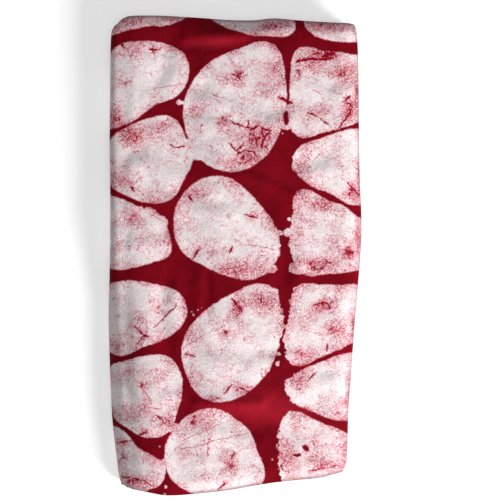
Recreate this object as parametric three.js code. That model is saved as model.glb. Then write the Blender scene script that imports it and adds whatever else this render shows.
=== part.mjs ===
// A length of adire cloth, wax-resist dyed cotton, folded by hand into a flat packet that lies face up.
// The cloth is folded in three across its width first, which makes a strip of three plies.
// The strip is then folded back and forth, and its outermost turn wraps the whole stack:
// it covers the face, goes round the left side as a rounded spine, and covers the back.
// Millimetres. X runs across the packet, Y up its height, Z up through its layers.
import * as THREE from "three";

// The stack
const LAYERS = 12; // strip layers, counted from the back, which is layer 0, to the face
const STRIP = 1.75; // three plies of cotton with the air between them
const GAP = 0.45; // air between one strip layer and the next
const PITCH = STRIP + GAP;
const FACE = LAYERS - 1;
const TUCK = FACE - 1; // the cloth's first end, turned in behind the face
const TUCK_LENGTH = 107.5; // this makes the strip 2286 long, which is two and a half yards
const SETTLE = 32; // the face comes down to the next layer over this width, past the end of the tuck
const SPINE_BULGE = 9.5; // how far the spine's middle line stands out from the layers that it joins
const SPINE_ROOM = 0.9; // the least air between the spine and the folds inside it
const NOSE = 0.45; // the strip's folded ends narrow to this share of its thickness
const CROWN = 0.045; // the stack is this share thicker in the middle than at its rim
const HALF_WIDTH = 104; // where that rim lies
const HALF_HEIGHT = 195;

// The smoothness of the faceted solid
const SPINE_STEPS = 16;
const WIDE_TURN_STEPS = 6; // along the outside of a fold
const TIGHT_TURN_STEPS = 2; // along the inside of a fold
const RUN_KNOTS = [0.06, 0.16, 0.3, 0.45, 0.6, 0.75, 0.88, 0.96]; // shares of a layer's width
// Shares of the height that get a section. Between the outermost pairs the strip's ends come to a nose.
const STATIONS = [0, 0.0025, 0.035, 0.09, 0.17, 0.27, 0.38, 0.5, 0.62, 0.74, 0.85, 0.94, 0.9975, 1];

// The packet's two sides, from its foot to its head: a share of the height, and where each side lies.
const SIDES = [
  { up: 0.0, left: -92.4, right: 87.2 },
  { up: 0.015, left: -94.0, right: 89.8 },
  { up: 0.05, left: -95.8, right: 90.8 },
  { up: 0.08, left: -97.2, right: 91.0 },
  { up: 0.14, left: -99.6, right: 91.8 },
  { up: 0.21, left: -100.7, right: 93.6 },
  { up: 0.3, left: -101.9, right: 95.9 },
  { up: 0.38, left: -102.3, right: 98.2 },
  { up: 0.46, left: -101.3, right: 100.6 },
  { up: 0.54, left: -100.5, right: 102.2 },
  { up: 0.66, left: -100.5, right: 100.8 },
  { up: 0.77, left: -100.9, right: 100.1 },
  { up: 0.88, left: -100.5, right: 99.7 },
  { up: 0.95, left: -100.2, right: 99.1 },
  { up: 0.985, left: -99.9, right: 98.2 },
  { up: 1.0, left: -99.6, right: 97.0 },
];

// Its foot and head, from left to right. They are not quite parallel, and the left head corner is round.
const ENDS = [
  { x: -103, foot: -181.0, head: 171.0 },
  { x: -99.5, foot: -182.5, head: 178.5 },
  { x: -97, foot: -184.0, head: 184.0 },
  { x: -93.5, foot: -186.0, head: 186.8 },
  { x: -91, foot: -186.9, head: 189.6 },
  { x: -85, foot: -188.1, head: 192.3 },
  { x: -68, foot: -191.0, head: 192.9 },
  { x: -54, foot: -192.9, head: 192.6 },
  { x: -28, foot: -191.1, head: 191.2 },
  { x: -4, foot: -188.4, head: 189.8 },
  { x: 16, foot: -184.8, head: 189.6 },
  { x: 32, foot: -182.2, head: 190.8 },
  { x: 52, foot: -180.1, head: 188.9 },
  { x: 69, foot: -178.3, head: 187.7 },
  { x: 82, foot: -175.0, head: 187.0 },
  { x: 93, foot: -172.6, head: 186.4 },
  { x: 98, foot: -171.2, head: 184.6 },
  { x: 103, foot: -169.0, head: 181.5 },
];

// How far each layer stops short of the packet's foot and head, from the back to the face.
const SHORT = [
  { foot: 1.2, head: 0.8 },
  { foot: 2.6, head: 2.2 },
  { foot: 1.4, head: 3.1 },
  { foot: 3.2, head: 1.5 },
  { foot: 2.0, head: 2.7 },
  { foot: 1.1, head: 3.6 },
  { foot: 2.9, head: 2.0 },
  { foot: 1.7, head: 1.2 },
  { foot: 3.4, head: 2.4 },
  { foot: 2.3, head: 3.3 },
  { foot: 1.0, head: 1.1 },
  { foot: 0, head: 0 },
];

// The folds on the right, by the lower of their two layers, and how far each lies inside the packet's side.
const RIGHT_FOLDS = [
  { layer: 0, inside: 1.4 },
  { layer: 2, inside: 0.5 },
  { layer: 4, inside: 2.3 },
  { layer: 6, inside: 0.9 },
  { layer: 8, inside: 1.9 },
  { layer: 10, inside: 0 },
];

// A smooth curve through the rows of a table, read at one value of its first column.
function along(table, key, value, column) {
  const last = table.length - 1;
  const v = THREE.MathUtils.clamp(value, table[0][key], table[last][key]);
  let i = 0;
  while (i < last - 1 && v > table[i + 1][key]) i++;
  const slopeAt = (n) => {
    const before = table[Math.max(n - 1, 0)];
    const after = table[Math.min(n + 1, last)];
    return (after[column] - before[column]) / (after[key] - before[key]);
  };
  const width = table[i + 1][key] - table[i][key];
  const t = (v - table[i][key]) / width;
  const [a, b] = [table[i][column], table[i + 1][column]];
  const start = (2 * t ** 3 - 3 * t ** 2 + 1) * a + (t ** 3 - 2 * t ** 2 + t) * width * slopeAt(i);
  const end = (3 * t ** 2 - 2 * t ** 3) * b + (t ** 3 - t ** 2) * width * slopeAt(i + 1);
  return start + end;
}

const layerZ = (layer) => STRIP / 2 + layer * PITCH; // the middle of a layer
const SPINE_Z = (layerZ(0) + layerZ(TUCK)) / 2;
const SPINE_HALF = (layerZ(TUCK) - layerZ(0)) / 2;

// The inner wall of the spine at a height, counted from where the spine leaves the layers.
function spineWall(z) {
  const share = Math.min(Math.abs(z - SPINE_Z) / (SPINE_HALF - STRIP / 2), 1);
  return -(SPINE_BULGE - STRIP / 2) * Math.sqrt(1 - share ** 2);
}

// How far left a fold between two layers may have its centre, clear of the spine.
function foldSeat(z) {
  const radius = (PITCH + STRIP) / 2;
  let seat = -SPINE_BULGE;
  for (let step = 0; step <= WIDE_TURN_STEPS; step++) {
    const angle = Math.PI * (step / WIDE_TURN_STEPS - 0.5);
    const wall = spineWall(z + radius * Math.sin(angle));
    seat = Math.max(seat, wall + SPINE_ROOM + radius * Math.cos(angle));
  }
  return seat;
}

// How far left a layer with a cut end may reach, clear of the spine.
const endSeat = (z) => Math.max(spineWall(z - STRIP / 2), spineWall(z + STRIP / 2)) + SPINE_ROOM;

// One face of the strip along its whole way through the stack, as {x, z, layer}.
// side is 1 for the cloth's outer face, which shows on the packet, and -1 for its inner one.
function stripFace(left, right, side, strip) {
  const points = [];
  const spineX = left + SPINE_BULGE + STRIP / 2;
  const put = (x, z, layer, onSpine = false) => points.push({ x, z, layer, onSpine });

  // A flat stretch of one layer. The outer face is above the layer where the strip runs left.
  const run = (layer, from, to, drop = () => 0) => {
    const z = layerZ(layer) + (side * Math.sign(from - to) * strip) / 2;
    for (const share of [0, ...RUN_KNOTS, 1]) {
      const x = from + (to - from) * share;
      put(x, z - drop(x), layer);
    }
  };
  // A fold from one layer up to the next. facing is 1 on the right and -1 on the left.
  const fold = (layer, centre, facing) => {
    const outside = side * facing > 0;
    const steps = outside ? WIDE_TURN_STEPS : TIGHT_TURN_STEPS;
    const radius = (PITCH + (outside ? strip : -strip)) / 2;
    const z = layerZ(layer) + PITCH / 2;
    for (let step = 1; step < steps; step++) {
      const angle = Math.PI * (step / steps - 0.5);
      put(centre + facing * radius * Math.cos(angle), z + radius * Math.sin(angle), layer + step / steps);
    }
  };
  const insideAt = (layer) => RIGHT_FOLDS.find((row) => row.layer === layer).inside;
  const rightCentre = (layer) => right - insideAt(layer) - (PITCH + STRIP) / 2;
  const leftCentre = (layer) => spineX + foldSeat(layerZ(layer) + PITCH / 2);

  const tuckEnd = rightCentre(TUCK) - TUCK_LENGTH;
  const settle = (x) => PITCH * THREE.MathUtils.smoothstep(tuckEnd - x, 0, SETTLE);

  run(TUCK, tuckEnd, rightCentre(TUCK));
  fold(TUCK, rightCentre(TUCK), 1);
  run(FACE, rightCentre(TUCK), spineX, settle);
  for (let step = 1; step < SPINE_STEPS; step++) {
    const angle = (Math.PI * step) / SPINE_STEPS;
    const normal = new THREE.Vector2(SPINE_HALF * Math.sin(angle), SPINE_BULGE * Math.cos(angle)).normalize();
    const x = spineX - SPINE_BULGE * Math.sin(angle) - (side * normal.x * strip) / 2;
    const z = SPINE_Z + SPINE_HALF * Math.cos(angle) + (side * normal.y * strip) / 2;
    put(x, z, FACE * (1 - step / SPINE_STEPS), true);
  }
  run(0, spineX, rightCentre(0));
  for (let layer = 0; layer < TUCK - 2; layer += 2) {
    fold(layer, rightCentre(layer), 1);
    run(layer + 1, rightCentre(layer), leftCentre(layer + 1));
    fold(layer + 1, leftCentre(layer + 1), -1);
    run(layer + 2, leftCentre(layer + 1), rightCentre(layer + 2));
  }
  fold(TUCK - 2, rightCentre(TUCK - 2), 1);
  run(TUCK - 1, rightCentre(TUCK - 2), spineX + endSeat(layerZ(TUCK - 1)));
  return points;
}

// How far a point of the strip lies short of the foot or head, between the layers that it joins.
function shortAt({ layer, onSpine }, column) {
  const [lower, upper] = onSpine ? [0, FACE] : [Math.floor(layer), Math.ceil(layer)];
  const share = upper > lower ? (layer - lower) / (upper - lower) : 0;
  return THREE.MathUtils.lerp(SHORT[lower][column], SHORT[upper][column], share);
}

// The closed section of the strip at one share of the height, as points in space.
function section(up) {
  const left = along(SIDES, "up", up, "left");
  const right = along(SIDES, "up", up, "right");
  const strip = up === 0 || up === 1 ? STRIP * NOSE : STRIP;
  const outline = [...stripFace(left, right, 1, strip), ...stripFace(left, right, -1, strip).reverse()];
  return outline.map((point) => {
    const foot = along(ENDS, "x", point.x, "foot") + shortAt(point, "foot");
    const head = along(ENDS, "x", point.x, "head") - shortAt(point, "head");
    const y = foot + up * (head - foot);
    const middle = (1 - (point.x / HALF_WIDTH) ** 2) * (1 - (y / HALF_HEIGHT) ** 2);
    return new THREE.Vector3(point.x, y, point.z * (1 + CROWN * middle));
  });
}

// A closed skin over the sections, with a cap at the foot and at the head.
function loft(sections) {
  const count = sections[0].length;
  const positions = sections.flat().flatMap((p) => [p.x, p.y, p.z]);
  const flat = sections[0].map((p) => new THREE.Vector2(p.x, p.z));
  const cap = THREE.ShapeUtils.triangulateShape(flat, []);
  const facing = THREE.ShapeUtils.area(flat) > 0;
  const faces = [];
  const addFace = (a, b, c) => faces.push(...(facing ? [a, b, c] : [a, c, b]));
  for (let s = 0; s < sections.length - 1; s++) {
    for (let i = 0; i < count; i++) {
      const next = (i + 1) % count;
      const [a, b] = [s * count + i, s * count + next];
      addFace(a, a + count, b);
      addFace(b, a + count, b + count);
    }
  }
  const head = (sections.length - 1) * count;
  const wound = THREE.ShapeUtils.area(cap[0].map((i) => flat[i])) > 0 === facing;
  for (const [a, b, c] of cap) {
    const [p, q] = wound ? [b, c] : [c, b];
    addFace(a, p, q);
    addFace(head + a, head + q, head + p);
  }
  const geometry = new THREE.BufferGeometry();
  geometry.setAttribute("position", new THREE.Float32BufferAttribute(positions, 3));
  geometry.setIndex(faces);
  geometry.computeVertexNormals();
  return geometry;
}

function adireCloth() {
  const geometry = loft(STATIONS.map(section));
  geometry.computeBoundingBox();
  const middle = geometry.boundingBox.getCenter(new THREE.Vector3());
  const waxedCotton = new THREE.MeshStandardMaterial({ color: 0xdccaca, roughness: 0.85, metalness: 0 });
  const cloth = new THREE.Mesh(geometry, waxedCotton);
  cloth.name = "adire_cloth";
  cloth.position.set(-middle.x, -middle.y, 0);
  return cloth;
}

const packet = new THREE.Group();
packet.add(adireCloth());
export default packet;
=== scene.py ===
"""A folded packet of adire cotton: one sheet, folded in three across its width, and then
back and forth, with the outermost turn round a soft spine on the left.
Sizes are millimetres. The mesh is turned into metres as it is made."""
import math

import bpy
import numpy as np
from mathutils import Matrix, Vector


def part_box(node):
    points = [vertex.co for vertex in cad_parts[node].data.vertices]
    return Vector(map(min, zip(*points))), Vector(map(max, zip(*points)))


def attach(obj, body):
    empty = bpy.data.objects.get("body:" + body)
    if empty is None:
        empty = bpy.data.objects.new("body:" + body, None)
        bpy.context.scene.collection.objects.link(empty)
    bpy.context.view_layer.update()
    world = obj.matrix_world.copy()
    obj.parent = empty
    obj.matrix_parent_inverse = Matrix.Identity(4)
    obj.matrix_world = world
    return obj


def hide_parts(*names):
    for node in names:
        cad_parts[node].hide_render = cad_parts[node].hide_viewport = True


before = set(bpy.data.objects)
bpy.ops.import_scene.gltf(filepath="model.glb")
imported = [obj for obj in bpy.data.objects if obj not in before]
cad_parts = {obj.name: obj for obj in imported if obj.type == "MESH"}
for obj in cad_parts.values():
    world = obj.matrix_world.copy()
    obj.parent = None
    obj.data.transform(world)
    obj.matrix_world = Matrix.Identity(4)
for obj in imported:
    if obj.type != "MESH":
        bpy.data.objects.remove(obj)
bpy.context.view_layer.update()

MM = 0.001

# The stack, as in the solid
LAYERS = 12
STRIP = 1.75  # three plies of cotton with the air between them
PITCH = 2.2  # from one strip layer to the next
FACE = LAYERS - 1
TUCK = FACE - 1  # the cloth's first end, turned in behind the face
TUCK_LENGTH = 107.5
SETTLE = 32  # the face comes down to the next layer over this width, past the end of the tuck
SPINE_BULGE = 9.5
SPINE_ROOM = 0.9
CROWN = 0.045
HALF_WIDTH = 104
HALF_HEIGHT = 195

# The three plies of a strip layer
PLY = 0.36  # the cotton's own thickness
PLY_STEP = (STRIP - PLY) / 2
SHORT_AT_HEAD = 4.0  # the inner ply's raw edge stops this far below the head
SHORT_AT_FOOT = 5.0  # the middle ply's raw edge stops this far above the foot
STRIP_HEIGHT = 380  # from foot to head, near enough to place the raw edges

# How many steps the mesh takes
FACE_STEPS = 82
HEIGHT_STEPS = 128
SPINE_STEPS = 26
BACK_STEPS = 22
LAYER_STEPS = 6
FOLD_STEPS = 6
PLY_STEPS = 15
PLY_FOLD_STEPS = 8


def table(columns, *rows):
    """Rows of numbers, with a name for each column."""
    return np.array(list(rows), dtype=[(name, float) for name in columns.split()])


# The packet's two sides, from its foot to its head: a share of the height, and where each side lies.
SIDES = table(
    "up left right",
    (0, -92.4, 87.2),
    (0.015, -94, 89.8),
    (0.05, -95.8, 90.8),
    (0.08, -97.2, 91),
    (0.14, -99.6, 91.8),
    (0.21, -100.7, 93.6),
    (0.3, -101.9, 95.9),
    (0.38, -102.3, 98.2),
    (0.46, -101.3, 100.6),
    (0.54, -100.5, 102.2),
    (0.66, -100.5, 100.8),
    (0.77, -100.9, 100.1),
    (0.88, -100.5, 99.7),
    (0.95, -100.2, 99.1),
    (0.985, -99.9, 98.2),
    (1, -99.6, 97),
)

# Its foot and head, from left to right
ENDS = table(
    "x foot head",
    (-103, -181, 171),
    (-99.5, -182.5, 178.5),
    (-97, -184, 184),
    (-93.5, -186, 186.8),
    (-91, -186.9, 189.6),
    (-85, -188.1, 192.3),
    (-68, -191, 192.9),
    (-54, -192.9, 192.6),
    (-28, -191.1, 191.2),
    (-4, -188.4, 189.8),
    (16, -184.8, 189.6),
    (32, -182.2, 190.8),
    (52, -180.1, 188.9),
    (69, -178.3, 187.7),
    (82, -175, 187),
    (93, -172.6, 186.4),
    (98, -171.2, 184.6),
    (103, -169, 181.5),
)

# How far each layer stops short of the packet's foot and head, from the back to the face.
SHORT = table(
    "foot head",
    (1.2, 0.8),
    (2.6, 2.2),
    (1.4, 3.1),
    (3.2, 1.5),
    (2, 2.7),
    (1.1, 3.6),
    (2.9, 2),
    (1.7, 1.2),
    (3.4, 2.4),
    (2.3, 3.3),
    (1, 1.1),
    (0, 0),
)

# The folds on the right, by the lower of their two layers: how far each lies inside the packet's side.
RIGHT_FOLDS = {0: 1.4, 2: 0.5, 4: 2.3, 6: 0.9, 8: 1.9, 10: 0.0}


def ease(value, low, high):
    """0 below low, 1 above high, and a smooth step between."""
    share = np.clip((value - low) / (high - low), 0, 1)
    return share * share * (3 - 2 * share)


def along(table, key, value, column):
    """A smooth curve through the rows of a table, read at values of its first column."""
    keys, heights = table[key], table[column]
    slopes = np.gradient(heights, keys)
    slopes[1:-1] = (heights[2:] - heights[:-2]) / (keys[2:] - keys[:-2])
    v = np.clip(value, keys[0], keys[-1])
    i = np.clip(np.searchsorted(keys, v, side="right") - 1, 0, len(keys) - 2)
    width = keys[i + 1] - keys[i]
    t = (v - keys[i]) / width
    start = (2 * t**3 - 3 * t**2 + 1) * heights[i] + (t**3 - 2 * t**2 + t) * width * slopes[i]
    end = (3 * t**2 - 2 * t**3) * heights[i + 1] + (t**3 - t**2) * width * slopes[i + 1]
    return start + end


def layer_z(layer):
    return STRIP / 2 + layer * PITCH


SPINE_Z = (layer_z(0) + layer_z(TUCK)) / 2
SPINE_HALF = (layer_z(TUCK) - layer_z(0)) / 2


def spine_wall(z):
    """The spine's inner wall at a height, counted from where the spine leaves the layers."""
    share = min(abs(z - SPINE_Z) / (SPINE_HALF - STRIP / 2), 1)
    return -(SPINE_BULGE - STRIP / 2) * math.sqrt(1 - share**2)


def fold_seat(z):
    """How far left a fold between two layers may have its centre, clear of the spine."""
    radius = (PITCH + STRIP) / 2
    angles = np.linspace(-math.pi / 2, math.pi / 2, 7)
    return max(spine_wall(z + radius * math.sin(a)) + SPINE_ROOM + radius * math.cos(a) for a in angles)


def end_seat(z):
    """How far left a layer with a cut end may reach, clear of the spine."""
    return max(spine_wall(z - STRIP / 2), spine_wall(z + STRIP / 2)) + SPINE_ROOM


class Path:
    """The strip's middle line through the stack. Each stop holds a value for every row of the cloth."""

    def __init__(self, rows):
        self.rows = rows
        self.stops = []
        self.marks = {}

    def put(self, x, z, nx, nz, layer, weight):
        full = [np.broadcast_to(np.asarray(v, float), (self.rows,)) for v in (x, z, nx, nz, layer, weight)]
        self.stops.append(full)

    def run(self, layer, start, stop, steps, weight, drop=lambda x: 0.0):
        """A flat stretch of one layer. The cloth's outer side is above it where the strip runs left."""
        up = 1.0 if np.mean(start - stop) > 0 else -1.0
        for step in range(steps + 1):
            x = start + (stop - start) * step / steps
            self.put(x, layer_z(layer) - drop(x), 0, up, layer, weight)

    def fold(self, layer, centre, facing, weight):
        """A fold from one layer up to the next, on the right (facing 1) or on the left (-1)."""
        for step in range(1, FOLD_STEPS):
            a = math.pi * (step / FOLD_STEPS - 0.5)
            x = centre + facing * PITCH / 2 * math.cos(a)
            z = layer_z(layer) + PITCH / 2 + PITCH / 2 * math.sin(a)
            self.put(x, z, math.cos(a), facing * math.sin(a), layer + step / FOLD_STEPS, weight)

    def spine(self, spine_x, square, weight):
        """The turn round the whole stack: an ellipse where square is 2, and squarer above that."""
        for step in range(1, SPINE_STEPS):
            a = math.pi * step / SPINE_STEPS
            side, up = math.sin(a), math.cos(a)
            nx = -(side ** (2 - 2 / square)) / SPINE_BULGE
            nz = np.sign(up) * abs(up) ** (2 - 2 / square) / SPINE_HALF
            size = np.hypot(nx, nz)
            x = spine_x - SPINE_BULGE * side ** (2 / square)
            z = SPINE_Z + SPINE_HALF * np.sign(up) * abs(up) ** (2 / square)
            self.put(x, z, nx / size, nz / size, FACE * (1 - step / SPINE_STEPS), weight)

    def mark(self, name):
        """Keeps the number of the next stop under a name."""
        self.marks[name] = len(self.stops)

    def arrays(self):
        """Six arrays of stop by row: x, z, the normal's two parts, layer and bake weight."""
        return np.array(self.stops).transpose(1, 0, 2)


# What each stretch of the strip is worth in the baked pictures, for one step of the mesh
WORTH = {"face": 8.0, "spine": 4.0, "back": 9.0, "fold": 1.6, "inside": 1.0}
SHOWN_ROW = 4.0  # and what one row is worth on the outermost ply
HIDDEN_ROW = 1.0


def strip_path(up):
    """The strip's way through the stack, for rows at the given shares of the height."""
    left = along(SIDES, "up", up, "left")
    right = along(SIDES, "up", up, "right")
    spine_x = left + SPINE_BULGE + STRIP / 2

    def right_centre(layer):
        wander = 0.0 if layer == TUCK else 0.45 * (1 + np.sin(up * 13 + layer * 1.7))
        return right - RIGHT_FOLDS[layer] - wander - (PITCH + STRIP) / 2

    def left_centre(layer):
        return spine_x + fold_seat(layer_z(layer) + PITCH / 2)

    tuck_end = right_centre(TUCK) - TUCK_LENGTH

    def drop(x):
        return PITCH * ease(tuck_end - x, 0, SETTLE)

    path = Path(len(up))
    path.run(TUCK, tuck_end, right_centre(TUCK), LAYER_STEPS + 2, WORTH["inside"])
    path.fold(TUCK, right_centre(TUCK), 1, WORTH["fold"] * 2)
    path.mark("face")
    path.run(FACE, right_centre(TUCK), spine_x, FACE_STEPS, WORTH["face"], drop)
    path.mark("spine")
    path.spine(spine_x, 2 + 1.3 * ease(up, 0.3, 0.65), WORTH["spine"])
    path.run(0, spine_x, right_centre(0), BACK_STEPS, WORTH["back"])
    for layer in range(0, TUCK - 2, 2):
        path.fold(layer, right_centre(layer), 1, WORTH["fold"])
        path.run(layer + 1, right_centre(layer), left_centre(layer + 1), LAYER_STEPS, WORTH["inside"])
        path.fold(layer + 1, left_centre(layer + 1), -1, WORTH["fold"])
        path.run(layer + 2, left_centre(layer + 1), right_centre(layer + 2), LAYER_STEPS, WORTH["inside"])
    path.fold(TUCK - 2, right_centre(TUCK - 2), 1, WORTH["fold"])
    last_x = spine_x + end_seat(layer_z(TUCK - 1))
    path.run(TUCK - 1, right_centre(TUCK - 2), last_x, LAYER_STEPS, WORTH["inside"])
    return path


def ply_rows():
    """The rows of the cloth from one raw edge to the other: share of the height, step out of the
    strip's middle, step past the fold's centre, angle of the turn, and how much a bake gives it."""
    rows = []
    for share in np.linspace(1 - SHORT_AT_HEAD / STRIP_HEIGHT, 0, PLY_STEPS):
        rows.append((share, -PLY_STEP, 0, math.pi, HIDDEN_ROW))
    for turn in np.linspace(math.pi, 0, PLY_FOLD_STEPS + 1)[1:-1]:
        rows.append((0, PLY_STEP * math.cos(turn), -PLY_STEP * math.sin(turn), -turn, HIDDEN_ROW))
    for share in np.linspace(0, 1, HEIGHT_STEPS + 1):
        rows.append((share, PLY_STEP, 0, 0, SHOWN_ROW))
    for turn in np.linspace(0, math.pi, PLY_FOLD_STEPS + 1)[1:-1]:
        step = PLY_STEP / 2
        rows.append((1, step + step * math.cos(turn), step * math.sin(turn), turn, HIDDEN_ROW))
    for share in np.linspace(1, SHORT_AT_FOOT / STRIP_HEIGHT, PLY_STEPS):
        rows.append((share, 0, 0, math.pi, HIDDEN_ROW))
    return np.array(rows).T


def crease(*through, wide, rise=0.0, lean=0.0):
    """One soft crease of the face along a line through some points."""
    return dict(through=through, wide=wide, rise=rise, lean=lean)


# The face's creases, in millimetres from the packet's middle. Along the line through its points each
# has a soft ridge (rise above 0) or trough (below 0), this wide to each side, or a slope that goes up
# to the left of the line as one walks along it (lean above 0), or down (below 0).
CREASES = [
    crease((-38, 173), (-22, 175), (-4, 175), (8, 177), wide=4.4, rise=1.7),
    crease((-38, 167), (-20, 168), (0, 168), (10, 170), wide=4.4, rise=-1.2),
    crease((-46, 172), (-51, 152), (-58, 136), wide=9, rise=-0.2, lean=1.2),
    crease((-94, 76), (-69, 81), (-46, 68), wide=9, rise=-0.4, lean=-1.5),
    crease((-51, -24), (-55, -47), (-50, -68), wide=8.5, rise=-0.4, lean=1.5),
    crease((-57, -113), (-42, -113), wide=2.6, rise=1.2),
    crease((-86, -104), (-76, -118), (-62, -122), wide=7, lean=1.2),
    crease((-47, -147), (-30, -155), wide=6, rise=-0.5, lean=1),
    crease((-45, 48), (-25, 40), (-8, 37), wide=8, lean=-1.2),
    crease((-27, 3), (-9, 2), wide=4, rise=-0.3, lean=-0.7),
    crease((4, 68), (27, 61), (49, 50), wide=4.5, lean=-1.6),
    crease((-29, -14), (-28, -30), (-30, -46), wide=3.8, rise=0.5),
    crease((-21, -15), (-20, -30), (-21, -46), wide=3.4, rise=-0.7),
    crease((-30, -118), (-4, -119), (22, -118), wide=3.2, rise=1.5),
    crease((-24, 130), (-2, 122), (24, 110), (40, 114), wide=8.5, rise=-0.4, lean=-1.4),
    crease((-40, 110), (-10, 109), wide=6, lean=-0.9),
    crease((30, 30), (48, -2), (44, -20), wide=8, lean=1),
    crease((56, 68), (78, 75), (96, 68), wide=9, lean=-1.5),
    crease((-10, -122), (20, -128), (44, -136), wide=10, lean=2.4),
    crease((-10, -78), (12, -84), (34, -80), wide=9, lean=-1.4),
    crease((52, -92), (66, -99), (84, -95), wide=8, lean=-1.1),
    crease((-20, -136), (0, -146), (20, -144), wide=8, lean=-1),
    crease((-96, 22), (-80, 14), (-60, 12), wide=7, lean=-1),
    crease((60, 140), (76, 132), (94, 136), wide=7, lean=-1),
    crease((-85, 10), (-85, -60), (-83, -180), wide=17, lean=1.6),
]
FACE_LOFT = 1.5  # the face lies this far above its own rest, so that a trough never meets the next ply

# How far the stack settles where it is slackest
LEFT_SLOPE = 9.2  # the wide slope down to the left, over the packet's lower half
LEFT_ROUNDING = 5.6  # the rounded left side, over the same half
RIGHT_ROUNDING = 0.8
HEAD_ROUNDING = 2.4
HEAD_DIP = 6.2  # and this much more in the middle of the head
FOOT_ROUNDING = 1.2
WAVE = 0.3  # the height of each of three slow waves


def line_distance(x, y, points):
    """How far each place lies from a line through some points, and how far of that to its left."""
    near = np.full(x.shape, np.inf)
    leftward = np.zeros(x.shape)
    for (x0, y0), (x1, y1) in zip(points, points[1:]):
        dx, dy = x1 - x0, y1 - y0
        long = math.hypot(dx, dy)
        share = np.clip(((x - x0) * dx + (y - y0) * dy) / long**2, 0, 1)
        far = np.hypot(x - x0 - share * dx, y - y0 - share * dy)
        side = ((y - y0) * dx - (x - x0) * dy) / long
        leftward = np.where(far < near, side, leftward)
        near = np.minimum(far, near)
    return near, leftward


def crease_relief(x, y):
    """Height of the creases at points of the face."""
    relief = np.zeros_like(x)
    for line in CREASES:
        near, leftward = line_distance(x, y, line["through"])
        profile = line["rise"] + line["lean"] * 1.6 * np.clip(leftward / line["wide"], -2, 2)
        relief += profile * np.exp(-((near / line["wide"]) ** 2))
    return relief


def stack_droop(x, y, left, right, foot, head):
    """How far the top of the whole stack lies below its even height."""
    from_left, from_right = x - left, right - x
    low = ease(-y, -20, 60)
    wide_slope = LEFT_SLOPE * (1 - ease(from_left, -14, 46))
    rounded_side = LEFT_ROUNDING * np.clip(1 - from_left / 13, 0, 1) ** 2
    droop = low * (wide_slope + rounded_side)
    droop += RIGHT_ROUNDING * (1 - ease(from_right, 0, 7))
    middle = np.exp(-(((x - 4) / 34) ** 2))
    at_head = np.clip(1 - (head - y) / (8 + 9 * middle), 0, 1) ** 2
    droop += (HEAD_ROUNDING + HEAD_DIP * middle) * at_head
    droop += FOOT_ROUNDING * (1 - ease(y - foot, 0, 7))
    waves = np.sin(x / 17 + y / 46) + np.sin(y / 23 - x / 39 + 2) + np.sin(x / 29 + y / 61 + 4)
    return droop + WAVE * waves


def lay_cloth():
    """The cloth's middle surface as stop by row: places, normals, flat places and bake weights."""
    up, out, past, turn, row_worth = ply_rows()
    path = strip_path(up)
    x, z, nx, nz, layer, worth = path.arrays()
    spine_stop, face_stop = path.marks["spine"], path.marks["face"]

    foot = along(ENDS, "x", x, "foot")
    head = along(ENDS, "x", x, "head")
    lower = np.clip(np.floor(layer).astype(int), 0, FACE)
    upper = np.clip(np.ceil(layer).astype(int), 0, FACE)
    share = layer - lower
    spine = slice(spine_stop, spine_stop + SPINE_STEPS)
    lower[spine], upper[spine], share[spine] = 0, FACE, layer[spine] / FACE
    inside = 0.4 * (1 + np.sin(x / 21 + layer * 2.3)) * (layer < FACE - 0.5)
    foot = foot + SHORT["foot"][lower] * (1 - share) + SHORT["foot"][upper] * share + inside
    head = head - SHORT["head"][lower] * (1 - share) - SHORT["head"][upper] * share - inside

    low_end = foot + PLY_STEP + PLY / 2
    high_end = head - PLY_STEP / 2 - PLY / 2
    rest_y = low_end + up * (high_end - low_end)
    y = rest_y + past

    steps = np.hypot(np.diff(x, axis=0), np.diff(z, axis=0))
    way = np.concatenate([np.zeros((1, x.shape[1])), np.cumsum(steps, axis=0)])
    flat_x = x[spine_stop] - (way - way[spine_stop])
    arc = np.concatenate([[0], np.cumsum(np.hypot(np.diff(out), np.diff(past)))])
    on_face_ply = turn == 0
    first, last = np.flatnonzero(on_face_ply)[[0, -1]]
    rows = np.arange(len(up))
    below = low_end - (arc[first] - arc) - up * (high_end - low_end)
    above = high_end + (arc - arc[last]) + (1 - up) * (high_end - low_end)
    flat_y = np.where(rows < first, below, np.where(rows > last, above, rest_y))

    top = x + nx * out
    rise = z + nz * out
    left = along(SIDES, "up", up, "left")
    right = along(SIDES, "up", up, "right")
    height = layer_z(FACE)
    middle = (1 - (top / HALF_WIDTH) ** 2) * (1 - (y / HALF_HEIGHT) ** 2)
    droop = stack_droop(top, y, left, right, foot, head)
    rise = rise * (1 + CROWN * middle) - droop * np.clip(rise / height, 0, 1.1)

    stops = np.arange(len(x))[:, None]
    on_face = (stops >= face_stop) & (stops <= spine_stop) & on_face_ply[None, :]
    rim = ease(right - x, 2, 16) * ease(x - left - SPINE_BULGE, -2, 12)
    rim = rim * ease(head - y, 1, 12) * ease(y - foot, 1, 12)
    loft = np.maximum(FACE_LOFT * rim + crease_relief(x, y) * ease(rim, 0, 0.8), -0.1)
    rise = rise + np.where(on_face, loft, 0)

    places = np.stack([top, y, rise], axis=-1)
    flat = np.stack([flat_x, flat_y, np.zeros_like(flat_x)], axis=-1)
    normals = surface_normals(places, nx, nz, turn)
    return places, normals, flat, worth[:, 0], row_worth


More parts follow.
